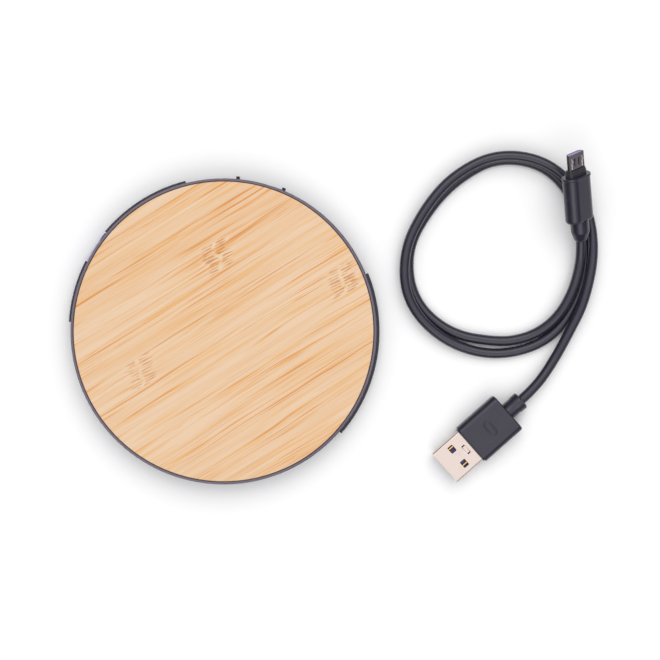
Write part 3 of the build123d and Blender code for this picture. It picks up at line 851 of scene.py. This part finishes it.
finishes = {
    "bamboo": bambooMaterial(),
    "adhesive": mouldedPlastic("clearFilm", rgba(226, 222, 206), 0.4),
    # The bezel's dark grey plastic is painted a lighter grey-lilac: partly its own grey, partly a painted
    # sheen of its glossy edge.
    "bezel_plastic": mouldedPlastic("bezelPlasticPaintedSheen", rgba(108, 99, 113), 0.42, speckle=0.04),
    "base_plastic": mouldedPlastic("basePlastic", rgba(64, 61, 71), 0.52, 4.0, 0.00003, 0.04),
    "foot_rubber": mouldedPlastic("footRubber", rgba(38, 38, 40), 0.85, 3.0, 0.00004),
    "screw_steel": bareMetal("zincSteel", rgba(196, 198, 202), 0.34),
    "board_laminate": mouldedPlastic("boardLaminate", rgba(28, 96, 62), 0.32),
    "film_tape": mouldedPlastic("filmTape", rgba(206, 150, 52), 0.3),
    "ferrite": mouldedPlastic("ferrite", rgba(72, 72, 76), 0.75, 3.0, 0.00004),
    "copper_wire": bareMetal("copperWire", rgba(214, 128, 78), 0.28, 0.3),
    "shell_steel": bareMetal("brightSteel", rgba(211, 196, 189), 0.2),
    # The micro-USB shell gets the same steel painted dark: a painted shade standing in for the dark
    # surroundings its faces reflect.
    "micro_steel_painted_dark": bareMetal("steelPaintedDark", rgba(104, 100, 106), 0.16),
    # The micro plug's hooks get the steel painted lighter than the shell's: a painted highlight.
    "latch_steel_painted_bright": bareMetal("latchSteelPaintedBright", rgba(240, 234, 236), 0.4),
    "contact_gold": bareMetal("contactGold", rgba(236, 190, 104), 0.3, 0.2),
    # One purple plastic in two copies: this one painted darker, a painted shade for where the USB-A shell's
    # windows show it; the next painted lighter, painted light for the micro plug's lit tip.
    "purple_insulator": mouldedPlastic("insulatorPaintedDarker", rgba(96, 78, 150), 0.42),
    "insulator_painted_lighter": mouldedPlastic("insulatorPaintedLighter", rgba(150, 132, 206), 0.42),
    "black_insulator": mouldedPlastic("blackInsulator", rgba(30, 30, 32), 0.5),
    "chip_epoxy": mouldedPlastic("chipEpoxy", rgba(40, 40, 43), 0.6),
    "capacitor_ceramic": mouldedPlastic("ceramic", rgba(176, 142, 104), 0.45),
    "light_diffuser": lensMaterial(),
    "cable_pvc": mouldedPlastic("cablePvc", rgba(41, 38, 53), 0.25, 5.0, 0.00002),
    "inner_mould": mouldedPlastic("innerMould", rgba(46, 45, 52), 0.45),
}

for row in frame["record"]["subparts"]:
    paint(nodes[row["node"]], finishes[row["material_slot"]])
# the hooks are painted with the lighter steel, a painted highlight
for node in ("micro_latch_left", "micro_latch_right"):
    paint(nodes[node], finishes["latch_steel_painted_bright"])
for piece, finish in madePieces:
    paint(piece, finishes[finish])
print("stage: materials")


# ---------- table, light ----------

studio = {
    "middle": (0.03, 0, 0), "floorSize": 9.0, "floorColour": rgba(250, 250, 251), "floorRoughness": 0.6,
    "horizonHeight": 0.20, "zenithHeight": 1.05,
    "horizon": 0.04, "zenith": 1.36, "backdrop": (0.93, 0.93, 0.94, 1.0), "worldStrength": 0.95,
}
studioLamps = [  # name, place, size, power
    ("keyLamp", (0.15, 0.66, 1.05), 1.0, 4.6),
    ("fillLamp", (0.10, -0.85, 0.95), 0.9, 2.85),
]


def makeFloor():
    deselectAll()
    bpy.ops.mesh.primitive_plane_add(size=studio["floorSize"], location=studio["middle"])
    floor = bpy.context.object
    floor.name = "table"
    paint(floor, startMaterial("tableWhite", studio["floorColour"], studio["floorRoughness"])[0])


def makeLamps():
    for name, place, size, power in studioLamps:
        data = bpy.data.lights.new(name, "AREA")
        data.shape = "SQUARE"
        data.size = size
        data.energy = power
        lamp = bpy.data.objects.new(name, data)
        lamp.location = place
        way = Vector(studio["middle"]) - Vector(place)
        lamp.rotation_euler = way.to_track_quat("-Z", "Y").to_euler()
        bpy.context.scene.collection.objects.link(lamp)


def makeWorld():  # a dome, dim at the horizon and bright overhead, with a plain pale backdrop
    world = bpy.data.worlds.new("studio")
    world.use_nodes = True
    signal = Signal(world.node_tree)
    way = signal.add("ShaderNodeTexCoord", out=0)
    apart = way.add("ShaderNodeSeparateXYZ", inputs={0: way}, out=2)
    rise = studio["zenith"] - studio["horizon"]
    level = apart.step(studio["horizonHeight"], studio["zenithHeight"]) * rise + studio["horizon"]
    seen = signal.add("ShaderNodeLightPath", out=0)
    shade = signal.add("ShaderNodeCombineXYZ", inputs={0: level, 1: level, 2: level})
    background = world.node_tree.nodes["Background"]
    signal.feed(background.inputs["Color"], mixColour(signal, seen, shade, studio["backdrop"]))
    background.inputs["Strength"].default_value = studio["worldStrength"]
    bpy.context.scene.world = world
    bpy.context.scene.view_settings.view_transform = "Standard"


makeFloor()
makeLamps()
makeWorld()
print("stage: table and light")
